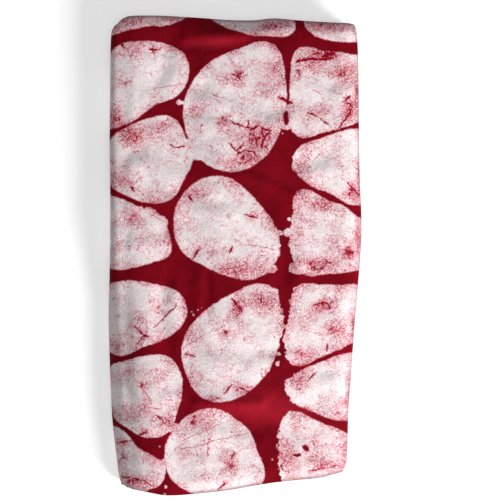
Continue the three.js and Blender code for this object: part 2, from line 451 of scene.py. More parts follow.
def surface_normals(places, nx, nz, turn):
    """Each point's normal, out of the cloth's outer side."""
    along_strip = np.gradient(places, axis=0)
    across = np.gradient(places, axis=1)
    normals = np.cross(along_strip, across)
    normals /= np.maximum(np.linalg.norm(normals, axis=-1, keepdims=True), 1e-9)
    rough = np.stack([nx * np.cos(turn), np.broadcast_to(np.sin(turn), nx.shape), nz * np.cos(turn)], axis=-1)
    agree = np.sign((normals * rough).sum(axis=-1, keepdims=True))
    return normals * np.where(agree == 0, 1, agree)


# The stones of the pattern, charted on the flat cloth. A stone has its column and row, its
# middle, and how far it reaches towards each hour of a clock face, from twelve o'clock round.
STONES = [
    dict(column=0, row=0, at=(-77, 201), reach=(36, 39, 44, 46, 31, 20, 19, 25, 45, 40, 36, 36)),
    dict(column=0, row=1, at=(-71, 141), reach=(31, 33, 37, 34, 28, 22, 26, 44, 68, 50, 39, 34)),
    dict(column=0, row=2, at=(-69, 77), reach=(33, 39, 35, 36, 33, 37, 35, 34, 38, 42, 35, 31)),
    dict(column=0, row=3, at=(-78, 17), reach=(23, 24, 24, 26, 31, 26, 26, 33, 42, 46, 58, 35)),
    dict(column=0, row=4, at=(-74, -48), reach=(27, 28, 35, 36, 29, 25, 26, 38, 45, 42, 40, 32)),
    dict(column=0, row=5, at=(-71, -112), reach=(32, 36, 33, 29, 29, 35, 34, 31, 34, 38, 39, 32)),
    dict(column=0, row=6, at=(-80, -170), reach=(19, 15, 18, 25, 25, 22, 27, 32, 37, 36, 37, 37)),
    dict(column=1, row=0, at=(15, 198), reach=(34, 34, 32, 29, 38, 26, 22, 22, 28, 40, 40, 36)),
    dict(column=1, row=1, at=(2, 119), reach=(46, 58, 45, 40, 40, 46, 52, 52, 46, 43, 41, 42)),
    dict(column=1, row=2, at=(-7, 23), reach=(40, 34, 33, 40, 49, 48, 39, 36, 40, 42, 43, 43)),
    dict(column=1, row=3, at=(-1, -72), reach=(42, 56, 46, 37, 35, 37, 43.5, 48.5, 44, 41, 37, 36)),
    dict(column=1, row=4, at=(-15, -157), reach=(35, 31, 32, 34, 45, 44, 40, 39, 42, 41, 38, 36)),
    dict(column=2, row=0, at=(83, 196), reach=(32, 36, 40, 42, 39, 29, 25, 26, 29, 27, 31, 32)),
    dict(column=2, row=1, at=(71, 131), reach=(33, 36, 47, 46, 40, 33, 33, 41, 31, 27, 30, 40)),
    dict(column=2, row=2, at=(78, 73), reach=(24, 33, 47, 48, 50, 38, 24, 23, 26, 32, 29, 23)),
    dict(column=2, row=3, at=(73, 16), reach=(29, 28, 30, 46, 44, 34, 31, 36, 31, 28.5, 30.5, 42)),
    dict(column=2, row=4, at=(68, -52), reach=(29, 33, 48, 45, 33, 28, 30, 41, 33, 25, 27, 33)),
    dict(column=2, row=5, at=(72, -104), reach=(20, 29, 45, 45, 43, 33, 25, 23, 28, 32, 23, 19)),
    dict(column=2, row=6, at=(62, -156), reach=(26, 24, 30, 40, 40, 37, 34, 37, 31, 26, 31, 36)),
]

# The rest of the cloth, which the packet hides or turns away, has plain stones of the same size.
PLAIN_PITCH_X = 71
PLAIN_PITCH_Y = 70
PLAIN_REACH = 33
PLAIN_SPREAD = 3.5
CLOTH_EDGE_Y = 590
COLUMN_X = {-1: -149, 3: 157}  # the middles of the plain columns beside the charted ones
SEED = 11


def plain_column(column, x, rows_y, dice):
    """Stones of one column at the given heights, each a little uneven."""
    stones = []
    for row, y in rows_y:
        reach = PLAIN_REACH + dice.uniform(-PLAIN_SPREAD, PLAIN_SPREAD, 12)
        reach = (reach + np.roll(reach, 1)) / 2
        at = (x + dice.uniform(-3, 3), y + dice.uniform(-3, 3))
        stones.append(dict(column=column, row=row, at=at, reach=tuple(reach)))
    return stones


def all_stones():
    dice = np.random.default_rng(SEED)
    stones = list(STONES)
    for column in range(3):
        charted = [s for s in STONES if s["column"] == column]
        head, foot = charted[0], charted[-1]
        above = range(1, 7)
        rows = [(head["row"] - n, head["at"][1] + n * PLAIN_PITCH_Y) for n in above]
        rows += [(foot["row"] + n, foot["at"][1] - n * PLAIN_PITCH_Y) for n in above]
        stones += plain_column(column, (-74, 0, 73)[column], rows, dice)
    beyond = [(n, COLUMN_X[-1] + (n + 1) * PLAIN_PITCH_X) for n in range(-1, -30, -1)]
    beyond += [(n, COLUMN_X[3] + (n - 3) * PLAIN_PITCH_X) for n in (3, 4)]
    for column, x in beyond:
        shift = dice.uniform(0, PLAIN_PITCH_Y)
        count = int(CLOTH_EDGE_Y / PLAIN_PITCH_Y)
        rows = [(n, shift + n * PLAIN_PITCH_Y) for n in range(-count, count + 1)]
        stones += plain_column(column, x, rows, dice)
    return stones


def stone_gap(stone, x, y):
    """How far points lie outside a stone's edge, or below 0 inside it."""
    dx, dy = x - stone["at"][0], y - stone["at"][1]
    hours = (np.arctan2(dx, dy) / (2 * math.pi) * 12) % 12
    reach = np.array(stone["reach"], float)
    slope = (np.roll(reach, -1) - np.roll(reach, 1)) / 2
    i = np.floor(hours).astype(int) % 12
    j = (i + 1) % 12
    t = hours - np.floor(hours)
    edge = (2 * t**3 - 3 * t**2 + 1) * reach[i] + (t**3 - 2 * t**2 + t) * slope[i]
    edge += (3 * t**2 - 2 * t**3) * reach[j] + (t**3 - t**2) * slope[j]
    turn = (6 * t**2 - 6 * t) * (reach[i] - reach[j])
    turn += (3 * t**2 - 4 * t + 1) * slope[i] + (3 * t**2 - 2 * t) * slope[j]
    lean = turn / (math.pi / 6) / edge
    return (np.hypot(dx, dy) - edge) / np.sqrt(1 + lean**2)


FAR = 60.0  # the widest gap that is kept
STONE_ROOM = 90.0  # a stone's gap is worked out only this near to its middle


def stone_fields(flat):
    """For each of four sets of stones that never touch, how far each point is from the nearest."""
    x, y = flat[..., 0], flat[..., 1]
    fields = [np.full(x.shape, FAR) for _ in range(4)]
    for stone in all_stones():
        field = fields[stone["column"] % 2 * 2 + stone["row"] % 2]
        near = (abs(x - stone["at"][0]) < STONE_ROOM) & (abs(y - stone["at"][1]) < STONE_ROOM)
        if near.any():
            field[near] = np.minimum(field[near], stone_gap(stone, x[near], y[near]))
    return fields


# Where dye has come through the cracked wax most: middle, reach across and up, and how much
CRACKED = table(
    "x y across up much",
    (19, 94, 13, 13, 0.72),
    (71, 160, 13, 4, 0.95),
    (51, 146, 5, 6, 0.8),
    (3, 144, 8, 8, 0.6),
    (-9, 109, 5, 5, 0.5),
    (8, 76, 17, 7, 0.72),
    (-81, 163, 18, 6, 0.4),
    (-90, 138, 7, 6, 0.3),
    (-95, 110, 8, 8, 0.6),
    (-46, 136, 9, 14, 0.3),
    (62, 153, 14, 8, 0.66),
    (86, 146, 11, 13, 0.7),
    (91, 116, 6, 10, 0.9),
    (68, 118, 10, 12, 0.4),
    (96, 52, 7, 9, 0.85),
    (54, 75, 8, 10, 0.5),
    (66, 41, 24, 7, 0.48),
    (92, 2, 6, 6, 0.9),
    (70, -7, 13, 7, 0.88),
    (2, -12, 30, 6, 0.6),
    (-36, 51, 9, 7, 0.6),
    (13, 31, 7, 4, 0.7),
    (-81, 96, 15, 8, 0.6),
    (-93, 58, 8, 6, 0.5),
    (-81, 32, 9, 8, 0.4),
    (-60, -48, 14, 10, 0.4),
    (-93, -72, 8, 6, 0.5),
    (3, -41, 6, 7, 0.95),
    (23, -36, 14, 9, 0.7),
    (-17, -115, 9, 4, 0.8),
    (6, -108, 10, 6, 0.8),
    (-9, -65, 6, 6, 0.5),
    (70, -41, 10, 5, 0.85),
    (79, -59, 11, 5, 0.5),
    (56, -79, 12, 7, 0.6),
    (55, -101, 11, 8, 0.6),
    (85, -121, 8, 8, 0.5),
    (46, -162, 12, 16, 0.38),
    (70, -168, 16, 8, 0.46),
    (-33, -131, 11, 7, 0.58),
    (-2, -167, 5, 7, 0.6),
    (-53, -134, 8, 6, 0.55),
    (-73, -142, 6, 4, 0.6),
    (-79, -182, 15, 5, 0.85),
    (-89, -150, 8, 3, 0.8),
    (99, 128, 4, 20, 0.72),
    (100, 62, 3, 18, 0.68),
    (99, 14, 3, 20, 0.62),
    (95, -56, 3, 24, 0.6),
    (92, -112, 3, 16, 0.58),
    (88, -160, 3, 16, 0.6),
    (32, 150, 12, 15, 0.45),
    (-31, 116, 9, 8, 0.62),
    (-60, 104, 16, 5, 0.6),
    (75, 184, 22, 8, 0.66),
    (32, 184, 16, 6, 0.62),
    (-78, 187, 20, 6, 0.55),
    (-50, 189, 14, 5, 0.6),
    (60, -146, 14, 10, 0.4),
    (-78, -122, 16, 12, 0.4),
)

# Where the wax held best and the cotton stayed clean
CLEAN = table(
    "x y across up much",
    (-70, 138, 26, 18, 0.5),
    (62, 132, 17, 12, 0.45),
    (-24, 88, 14, 12, 0.35),
    (76, 78, 20, 10, 0.3),
    (-4, 26, 20, 14, 0.4),
    (4, -84, 22, 20, 0.4),
    (78, -104, 18, 9, 0.4),
    (-56, 66, 16, 12, 0.35),
    (-84, -36, 16, 12, 0.3),
    (-86, -112, 14, 12, 0.3),
    (-12, 122, 20, 10, 0.25),
    (-54, -40, 12, 20, 0.4),
)

# Painted highlights: where the red is made paler along crease ridges that catch the light
PAINTED_CREASE_HIGHLIGHTS = table(
    "x y across up much",
    (-14, 171, 20, 4.2, 0.62),
    (26, -122, 40, 12, 0.8),
    (-26, -30, 4, 16, 0.1),
    (34, 62, 26, 8, 0.1),
)


def patch_field(flat, patches):
    """The largest of some soft round patches at each point."""
    x, y = flat[..., 0], flat[..., 1]
    much = np.zeros(x.shape)
    for patch in patches:
        far = ((x - patch["x"]) / patch["across"]) ** 2 + ((y - patch["y"]) / patch["up"]) ** 2
        much = np.maximum(much, patch["much"] * np.exp(-far))
    return much


# Painted shade: a grey-pink line along the outer folds, standing in for the shade where they turn away
FOLD_SHADE_INSET = 0.7  # the painted shade line lies this far inside the outline
FOLD_SHADE_WIDTH = 1.1


def painted_fold_shade_field(flat):
    """Painted shade, up to 1 along the outermost folds on the right and at both ends, where they turn away
    from the light.
    """
    x, y = flat[..., 0], flat[..., 1]
    foot, head = along(ENDS, "x", x, "foot"), along(ENDS, "x", x, "head")
    right = along(SIDES, "up", np.clip((y - foot) / (head - foot), 0, 1), "right")
    folds = np.stack([x - right + FOLD_SHADE_INSET, y - head + FOLD_SHADE_INSET, y - foot - FOLD_SHADE_INSET])
    nearest = np.abs(folds).min(axis=0)
    beside = (abs(x) < HALF_WIDTH) & (abs(y) < HALF_HEIGHT)
    return np.exp(-((nearest / FOLD_SHADE_WIDTH) ** 2)) * beside


EDGE_CRACKED = 0.45  # how much dye came in beneath the wax's edge
EDGE_WIDTH = 7


def cracked_field(flat, gaps):
    """How much dye came through the wax at each point, up to 1, and below 0 where the wax held."""
    x, y = flat[..., 0], flat[..., 1]
    near_edge = EDGE_CRACKED * ease(np.min(gaps, axis=0), -EDGE_WIDTH, 0)
    slow = np.sin(x / 9 + np.sin(y / 13) * 2) * np.sin(y / 11 + np.sin(x / 17) * 2)
    much = np.maximum(patch_field(flat, CRACKED), near_edge * (0.6 + 0.4 * slow)) + 0.12 * (1 + slow)
    return np.clip(much - patch_field(flat, CLEAN), -0.5, 1)


def grid_faces(stops, rows, start):
    """The quads of a sheet of stop by row, as numbers of its points."""
    i, j = np.meshgrid(np.arange(stops - 1), np.arange(rows - 1), indexing="ij")
    a = start + i * rows + j
    return np.stack([a, a + rows, a + rows + 1, a + 1], axis=-1).reshape(-1, 4)


def rim_faces(stops, rows, under):
    """The quads that close the sheet's rim, from the outer to the inner side, one array a side."""
    first = np.arange(rows)
    last = (stops - 1) * rows + np.arange(rows)
    foot = np.arange(stops) * rows
    head = foot + rows - 1
    sides = []
    for line in (foot[::-1], first, head, last[::-1]):
        a, b = line[:-1], line[1:]
        sides.append(np.stack([a, b, b + under, a + under], axis=-1))
    return sides


# How the baked picture is shared out, from its bottom up
BAKE_INNER = 0.045  # the inner side's height
BAKE_RIM = (0.0455, 0.0488, 0.0472, 0.0488)  # where the rim's four sides start
BAKE_RIM_HIGH = 0.0008
BAKE_RIM_END = 0.48  # the width of each cut end, which lie side by side
BAKE_OUTER = 0.05  # where the outer side starts


def bake_map(faces, sides, stops, rows, under, worth, row_worth):
    """Places in the baked picture for every corner, most of it for what shows."""
    across = np.concatenate([[0], np.cumsum((worth[1:] + worth[:-1]) / 2)])
    upward = np.concatenate([[0], np.cumsum((row_worth[1:] + row_worth[:-1]) / 2)])
    across, upward = across / across[-1], upward / upward[-1]
    number = faces % under
    u = across[number // rows]
    outer = BAKE_OUTER + (1 - BAKE_OUTER) * upward[number % rows]
    v = np.where(faces < under, outer, BAKE_INNER * upward[number % rows])
    maps = [np.stack([u, v], axis=-1)]
    end = upward * BAKE_RIM_END
    for side, low, scale in zip(sides, BAKE_RIM, (across, end, across, 1 - BAKE_RIM_END + end)):
        number = side % under
        place = scale[number // rows] if scale is across else scale[number % rows]
        maps.append(np.stack([place, np.where(side < under, low, low + BAKE_RIM_HIGH)], axis=-1))
    return np.concatenate(maps).reshape(-1, 2)


def add_object(name, data):
    thing = bpy.data.objects.new(name, data)
    bpy.context.scene.collection.objects.link(thing)
    return thing


def add_values(mesh, name, kind, field, values):
    layer = mesh.attributes.new(name, kind, "POINT")
    layer.data.foreach_set(field, np.ascontiguousarray(values, dtype=np.float32).ravel())


def folded_cloth(material):
    """The whole cloth as one closed sheet of its real thickness."""
    places, normals, flat, worth, row_worth = lay_cloth()
    stops, rows = places.shape[:2]
    under = stops * rows
    skin = [(places + normals * PLY / 2).reshape(-1, 3), (places - normals * PLY / 2).reshape(-1, 3)]
    points = np.concatenate(skin)
    box_low, box_high = (np.array(corner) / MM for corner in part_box("adire_cloth"))
    shift = (box_low + box_high) / 2 - (points.min(axis=0) + points.max(axis=0)) / 2
    shift[2] = box_low[2] - points[:, 2].min()
    points = (points + shift) * MM

    faces = np.concatenate([grid_faces(stops, rows, 0), grid_faces(stops, rows, under)[:, ::-1]])
    sides = rim_faces(stops, rows, under)
    a, b, c = (points[faces[0, n]] for n in (0, 1, 3))
    if np.dot(np.cross(b - a, c - a), normals[0, 0]) < 0:
        faces, sides = faces[:, ::-1], [side[:, ::-1] for side in sides]
    everything = np.concatenate([faces, *sides])

    mesh = bpy.data.meshes.new("adire_cloth_folded")
    mesh.vertices.add(len(points))
    mesh.vertices.foreach_set("co", points.ravel())
    mesh.loops.add(everything.size)
    mesh.loops.foreach_set("vertex_index", everything.ravel())
    mesh.polygons.add(len(everything))
    mesh.polygons.foreach_set("loop_start", np.arange(0, everything.size, 4))
    mesh.update(calc_edges=True)
    mesh.shade_smooth()

    gaps = stone_fields(flat)

    def both(values):
        return np.concatenate([values.reshape(under, -1)] * 2)

    add_values(mesh, "flat_place", "FLOAT_VECTOR", "vector", both(flat))
    fields = {f"stone_gap_{number}": gap for number, gap in enumerate(gaps)}
    fields["cracked"] = cracked_field(flat, gaps)
    # painted highlight on the crease ridges
    fields["painted_crease_highlight"] = patch_field(flat, PAINTED_CREASE_HIGHLIGHTS)
    # painted shade along the outer folds
    fields["painted_fold_shade"] = painted_fold_shade_field(flat)
    for name, field in fields.items():
        add_values(mesh, name, "FLOAT", "value", both(field))
    uv = mesh.uv_layers.new(name="OFBake")
    uv.data.foreach_set("uv", bake_map(faces, sides, stops, rows, under, worth, row_worth).ravel())

    mesh.materials.append(material)
    return add_object("adire_cloth_folded", mesh)


class Value:
    """One output of a shader node. Sums and products of these add Math nodes."""

    def __init__(self, graph, socket):
        self.graph = graph
        self.socket = socket

    def math(self, operation, *others):
        return self.graph.node("ShaderNodeMath", {"operation": operation}, dict(enumerate((self, *others))))

    def __add__(self, other):
        return self.math("ADD", other)

    __radd__ = __add__

    def __sub__(self, other):
        return self.math("SUBTRACT", other)

    def __rsub__(self, other):
        return self.graph.node("ShaderNodeMath", {"operation": "SUBTRACT"}, {0: other, 1: self})

    def __mul__(self, other):
        return self.math("MULTIPLY", other)

    __rmul__ = __mul__

    def __truediv__(self, other):
        return self.math("DIVIDE", other)

    def least(self, other):
        return self.math("MINIMUM", other)

    def most(self, other):
        return self.math("MAXIMUM", other)

    def power(self, other):
        return self.math("POWER", other)

    def size(self):
        return self.math("ABSOLUTE")

    def sine(self):
        return self.math("SINE")

    def step(self, low, high):
        """0 below low, 1 above high, and a smooth step between."""
        settings = {"interpolation_type": "SMOOTHSTEP"}
        inputs = {"Value": self, "From Min": low, "From Max": high}
        return self.graph.node("ShaderNodeMapRange", settings, inputs)


class Graph:
    """A material's nodes, each added by one call."""

    def __init__(self, name):
        self.material = bpy.data.materials.new(name)
        self.material.use_nodes = True
        self.tree = self.material.node_tree
        self.tree.nodes.clear()

    def node(self, kind, settings=None, inputs=None, out=0):
        node = self.tree.nodes.new(kind)
        for name, value in (settings or {}).items():
            setattr(node, name, value)
        for key, value in (inputs or {}).items():
            if isinstance(value, Value):
                self.tree.links.new(value.socket, node.inputs[key])
            else:
                node.inputs[key].default_value = value
        return Value(self, node.outputs[out]) if len(node.outputs) else node

    def reading(self, name, out):
        """A value that the mesh keeps for every point."""
        return self.node("ShaderNodeAttribute", {"attribute_name": name}, out=out)

    def noise(self, place, size, detail=2.0, rough=0.5, out=0):
        inputs = {"Vector": place, "Scale": 1 / size, "Detail": detail, "Roughness": rough}
        return self.node("ShaderNodeTexNoise", None, inputs, out)

    def vector(self, operation, *values, out=0):
        return self.node("ShaderNodeVectorMath", {"operation": operation}, dict(enumerate(values)), out)

    def distance(self, place, x, y):
        """How far each point of the flat cloth lies from one of its places."""
        return self.vector("DISTANCE", place, (x, y, 0), out=1)

    def blend(self, share, first, second):
        """A colour between two others."""
        return self.node("ShaderNodeMix", {"data_type": "RGBA"}, {0: share, 6: first, 7: second}, out=2)


def paint(red, green, blue):
    """A colour as a screen shows it, from 0 to 255, as the shader's own numbers."""
    shares = [c / 255 for c in (red, green, blue)]
    return tuple(s / 12.92 if s <= 0.04045 else ((s + 0.055) / 1.055) ** 2.4 for s in shares) + (1.0,)


RAGGED_CHANNEL_X = 41  # the wax's edge is roughest along this channel
SPOT = (-4.5, 31.8)  # the middle of a faint brown spot
SPOT_REACH = 3.4
THREAD_PITCH = 0.9  # from one thread of the weave to the next but one

# Drops of wax beside the stones: middle and radius
DROPS = table(
    "x y radius",
    (-44.4, 122.7, 2.2),
    (-34.3, -45.2, 0.7),
    (-32.7, -47.6, 1),
    (-29, -43.6, 0.5),
    (-26.2, -42, 0.5),
    (38.7, 97.6, 0.6),
    (44.4, 28.6, 1.2),
    (36.3, -78.3, 1.2),
    (34.3, -85.9, 1.6),
    (34.3, -151.7, 0.9),
    (30.3, -163, 0.6),
    (-59.7, -152.9, 0.4),
    (-54.9, -185.6, 1.3),
    (-55.7, -191.7, 0.9),
)


def streak(*through, wide=0.5):
    """A mark along a line through some points, this wide to each side."""
    return dict(through=through, wide=wide)


# Places where the wax of two stones ran together, or ran out at a stone's edge or corner
BRIDGES = [
    streak((-36.3, 88), (-36.3, 79.5), wide=6),
    streak((-38, 80.6), (-25, 79.8), wide=4),
    streak((38.5, 104.4), (45.5, 104), wide=3.6),
    streak((25, -8.5), (30.4, -10.2), wide=4.4),
    streak((54, -10), (48.5, -10.5), wide=4.8),
    streak((24, -32), (31.5, -29.5), wide=4.4),
    streak((58, -30), (50.5, -28), wide=3.8),
    streak((56, 160.5), (51.5, 161), wide=3.6),
    streak((56, 101), (50, 101), wide=4.4),
    streak((43.4, 117.5), (42.6, 103.5), wide=3.4),
    streak((34, 17), (41, 17.4), wide=1.4),
    streak((31.5, 20), (37.6, 17.6), wide=2.1),
    streak((47, 19), (42.5, 17.8), wide=3.6),
    streak((48, 8.6), (46, 8.2), wide=2.2),
    streak((-47.8, -136.5), (-50.8, -139.5), wide=2.6),
    streak((-56.5, -165), (-56, -170.5), wide=2.2),
    streak((-44.4, 122.7), (-38, 122), wide=1.5),
    streak((-58.4, 29), (-55.9, 26.4), wide=3.3),
]

# Small slits and spots of dye: in a stone, inside such a bridge, or at a stone's edge
SLITS = [
    streak((57, -153.6), (57.8, -154.4), wide=2.2),
    streak((49, -159.8), (52, -159.4), wide=1.5),
    streak((41.6, 113.6), (41.6, 106.2), wide=2.1),
    streak((-72.4, 40.8), (-72.2, 39.2), wide=1.6),
]

# Small bursts where the wax broke: middle and reach
BURSTS = table(
    "x y reach",
    (3.2, 144.4, 5.2),
    (-64.6, 163.8, 3.6),
    (-89.6, 168.7, 3.6),
    (-87.2, 138, 1.6),
    (-95.2, 109, 2.2),
    (-8.9, 109, 3),
    (-81.5, 54, 3.6),
    (3.2, 81.5, 3.2),
    (14.5, 92.8, 4),
    (21.8, 98.5, 4.2),
    (25, 87, 3.2),
    (73.4, 163, 3.6),
    (92, 2.4, 5),
    (99.3, 48.4, 4.8),
    (-71, -64.6, 5.2),
    (-75, -104.1, 2.6),
    (-7.3, -61.3, 3.2),
    (-88.8, -162.2, 3.2),
    (-2.4, -168, 3.2),
)

# Cracks in the wax that dye ran along
CRACKS = [
    streak((-4, 89.6), (3.2, 82.3), wide=0.8),
    streak((6.5, 88.8), (2.4, 83.9), wide=0.7),
    streak((3.2, 81.5), (9.7, 84.7), (15.3, 83.1), (18.6, 77.5), wide=0.7),
    streak((13.7, 100.9), (18.6, 103.3), wide=1.1),
    streak((21.8, 101.7), (29.1, 100.1), wide=1),
    streak((28.2, 98.5), (24.2, 94.4), (21.8, 86.3), wide=1.1),
    streak((15.3, 98.5), (17.8, 92), wide=0.7),
    streak((11.3, 108.1), (11.3, 100.9)),
    streak((36.4, 126.4), (45.2, 121.8), wide=1.4),
    streak((-4, 108.1), (8.1, 102.5), (17, 101.7), wide=0.6),
    streak((50, 155), (60.5, 157.4), (69.4, 157), (78.3, 157.4), wide=1.5),
    streak((72.6, 160), (79.1, 161.4), wide=2.4),
    streak((88, 123.5), (92.8, 127.5), wide=0.8),
    streak((91.2, 122.7), (94.4, 118.6), (91, 111.5), (83.5, 102), wide=0.8),
    streak((98.5, 133.2), (99, 128.3), wide=0.9),
    streak((58.9, 114.6), (68.6, 109.8), (75, 105), wide=0.6),
    streak((91.2, 58.1), (99.3, 48.4), wide=0.7),
    streak((-28.2, 5.6), (-33.1, -2.4), wide=0.7),
    streak((-1.6, 7.3), (-3.2, 2.4), wide=0.7),
    streak((8.1, 33.1), (18.6, 29.9), wide=0.7),
    streak((-51.6, 88.8), (-46, 86.3), (-40.4, 88), wide=0.6),
    streak((-64.6, -58.1), (-46, -39.5), wide=0.6),
    streak((-39.5, -79.1), (-31.5, -80.7), wide=0.6),
    streak((-1.6, -34.7), (2.4, -40.4), (6.5, -45.2), wide=1),
    streak((-2.4, -103.3), (-8.1, -110.6), wide=0.7),
    streak((62.9, -40.4), (68.6, -37.9), (74.2, -37.9), (77.5, -42.8), wide=0.8),
    streak((74.2, -71), (74.2, -76.7), wide=0.6),
    streak((58.1, -100.1), (66.2, -93.6)),
    streak((37.1, -167.9), (39.5, -171.9), wide=0.6),
    streak((58.9, -172.7), (76.7, -169.5), (81.5, -167.9)),
    streak((0, -158.2), (-2.4, -162.2), wide=0.7),
    streak((-12.9, -187.2), (-7.3, -182.4), wide=0.8),
    streak((-62.1, -127.5), (-56.5, -134), wide=0.7),
    streak((-75.9, -144.5), (-69.4, -139.6)),
    streak((-95.2, -151.7), (-82.3, -148.5), wide=0.6),
    streak((-92.8, -179.2), (-82.3, -178.3), (-71, -181.6), (-64.6, -185.6), wide=0.6),
    streak((-68, 165.4), (-60.4, 164.7), wide=0.9),
    streak((-80.5, -57), (-72.5, -63.4), (-77.5, -71), wide=0.6),
    streak((-37, 47), (-33.6, 43.6), wide=0.9),
]

# Hair-thin cracks, fainter than the others
HAIRLINES = [
    streak((62.1, 74.2), (70.2, 83.1)),
    streak((4, 9.7), (34.7, 4.8)),
    streak((-86.3, 25.8), (-76.7, 36.3)),
    streak((-68.6, 34.7), (-56.5, 26.6)),
    streak((-41.2, -74.2), (-21.8, -62.1)),
    streak((68.6, -56.5), (88.8, -62.1)),
    streak((36.3, -163), (45.2, -158.2)),
    streak((-46, -154.9), (-32.3, -154.1), (-16.1, -147.7), (14.5, -142)),
    streak((-75, -104.1), (-67, -116.2), wide=0.6),
    streak((-74.2, -121.9), (-58.1, -122.7)),
    streak((62, 132.4), (70.5, 129.2)),
    streak((-19, 130.5), (-12.5, 126.2), (-6, 125.6)),
    streak((-17, 126), (-10, 122.6)),
    streak((-68.5, 133), (-38.5, 138), wide=0.4),
    streak((-45, -150), (-26, -141), (-8, -134)),
    streak((22.4, 30.4), (21.8, 23.6)),
]


def line_marks(graph, place, lines):
    """How near each point is to the nearest of some lines: 1 at a line's edge, 0 along its middle."""
    nearest = None
    for line in lines:
        for (x0, y0), (x1, y1) in zip(line["through"], line["through"][1:]):
            long = math.hypot(x1 - x0, y1 - y0)
            half = long / 2 + line["wide"]
            focus = math.sqrt(half**2 - line["wide"] ** 2)
            middle_x, middle_y = (x0 + x1) / 2, (y0 + y1) / 2
            step_x, step_y = (x1 - x0) / long * focus, (y1 - y0) / long * focus
            start = graph.distance(place, middle_x - step_x, middle_y - step_y)
            stop = graph.distance(place, middle_x + step_x, middle_y + step_y)
            reach = (start + stop - 2 * focus) / (2 * half - 2 * focus)
            nearest = reach if nearest is None else nearest.least(reach)
    return nearest.power(0.5)


def burst_marks(graph, place):
    """How near each point is to a burst: 1 at the edge of its longest rays."""
    nearest = None
    for number, burst in enumerate(BURSTS):
        away = graph.vector("SUBTRACT", place, (burst["x"], burst["y"], 0))
        size = graph.vector("LENGTH", away, out=1)
        heading = graph.vector("NORMALIZE", away)
        turned = graph.vector("ADD", heading, (number * 3.1, number * 1.7, 0))
        ray = graph.noise(turned, 0.4, 1.0).step(0.44, 0.66)
        reach = size / (ray * (burst["reach"] * 0.62) + burst["reach"] * 0.28)
        nearest = reach if nearest is None else nearest.least(reach)
    return nearest


# The fine strokes of the crackle: their slant in degrees, length and width, and how few they are
STROKES = [
    dict(slant=35, long=2.8, thin=0.75, few=0.57),
    dict(slant=-50, long=2.6, thin=0.7, few=0.57),
    dict(slant=85, long=2.2, thin=0.65, few=0.58),
    dict(slant=22, long=11, thin=0.7, few=0.62),
    dict(slant=-34, long=10, thin=0.7, few=0.63),
]


def craze(graph, drifted, cracked, region, tatter):
    """The dye that came through the wax's finest cracks: short strokes and thin scribbles, 0 to 1."""
    strokes = None
    for kind in STROKES:
        settings = {"vector_type": "TEXTURE"}
        turn = (0, 0, math.radians(kind["slant"]))
        inputs = {"Vector": drifted, "Rotation": turn, "Scale": (kind["long"], kind["thin"], 1)}
        local = graph.node("ShaderNodeMapping", settings, inputs)
        stroke = (graph.noise(local, 1.0, 1.0) + cracked * 0.1).step(kind["few"] + 0.02, kind["few"] + 0.1)
        strokes = stroke if strokes is None else strokes.most(stroke)
    scribbles = None
    for size, thin in ((1.5, 0.05), (2.7, 0.038)):
        level = (graph.noise(drifted, size, 2.0, 0.6) - 0.5).size()
        line = 1 - level.step(0.0, thin)
        scribbles = line if scribbles is None else scribbles.most(line)
    here = (tatter * 0.3 + region * 0.35 + cracked * 0.55).step(0.22, 0.8)
    return (strokes * 0.46 + scribbles * 0.4) * (here * 0.66 + 0.34)


def wax_edge(graph, place, x, y):
    """How far each point lies outside the wax, or below 0 inside it."""
    gap = graph.reading("stone_gap_0", 2)
    for number in (1, 2, 3):
        gap = gap.least(graph.reading(f"stone_gap_{number}", 2))
    for drop in DROPS:
        gap = gap.least(graph.distance(place, drop["x"], drop["y"]) - drop["radius"])
    for bridge in BRIDGES:
        gap = gap.least((line_marks(graph, place, [bridge]) - 1) * bridge["wide"])
    for slit in SLITS:
        gap = gap.most((1 - line_marks(graph, place, [slit])) * slit["wide"])
    ragged = (1 - (x - RAGGED_CHANNEL_X).size().step(5, 13)) * (1 - y.step(60, 90))
    slow = graph.noise(place, 6.0, 1.0) - 0.5
    tooth = graph.noise(place, 1.6, 2.0) - 0.5
    notch = graph.noise(place, 3.4, 1.0) - 0.5
    return gap + slow * (ragged * 3.0 + 1.6) + notch * (ragged * 4.0 + 0.6) + tooth * 1.4


def dye_through_wax(graph, place, drifted, bent, tatter, edge):
    """How much dye came through the wax at each point, and how cracked the wax is round it, both 0 to 1."""
    region = graph.noise(place, 15.0, 2.0).step(0.36, 0.64)
    marks = line_marks(graph, drifted, CRACKS).least(burst_marks(graph, drifted))
    cracked = graph.reading("cracked", 2).most((1 - marks.step(0.8, 6.0)) * 0.5)
    crazed = craze(graph, drifted, cracked, region, tatter)

    cells = {"feature": "DISTANCE_TO_EDGE"}
    vein_edge = graph.node("ShaderNodeTexVoronoi", cells, {"Vector": bent, "Scale": 1 / 17})
    vein_here = (graph.noise(place, 9.0, 1.0) + region * 0.06).step(0.5, 0.6)
    vein = (1 - (vein_edge + tatter * 0.05).step(0.02, 0.05)) * vein_here
    web_edge = graph.node("ShaderNodeTexVoronoi", cells, {"Vector": drifted, "Scale": 1 / 7})
    thick = graph.noise(place, 4.0, 2.0).step(0.38, 0.72) * 0.13
    web = (1 - (web_edge - thick).step(0.0, 0.04)) * cracked.step(0.5, 0.7) * tatter.step(0.34, 0.52)
    strong = 1 - (marks + tatter * 2.2).step(1.6, 2.5)
    hair = 1 - (line_marks(graph, drifted, HAIRLINES) + tatter * 2.2).step(1.5, 2.6)

    rim = edge.step(-1.1, -0.25)
    dyed = crazed.most(vein * 0.6).most(web * 0.9).most(strong).most(hair * 0.44).most(rim * 0.36)
    return dyed.least(1.0), cracked


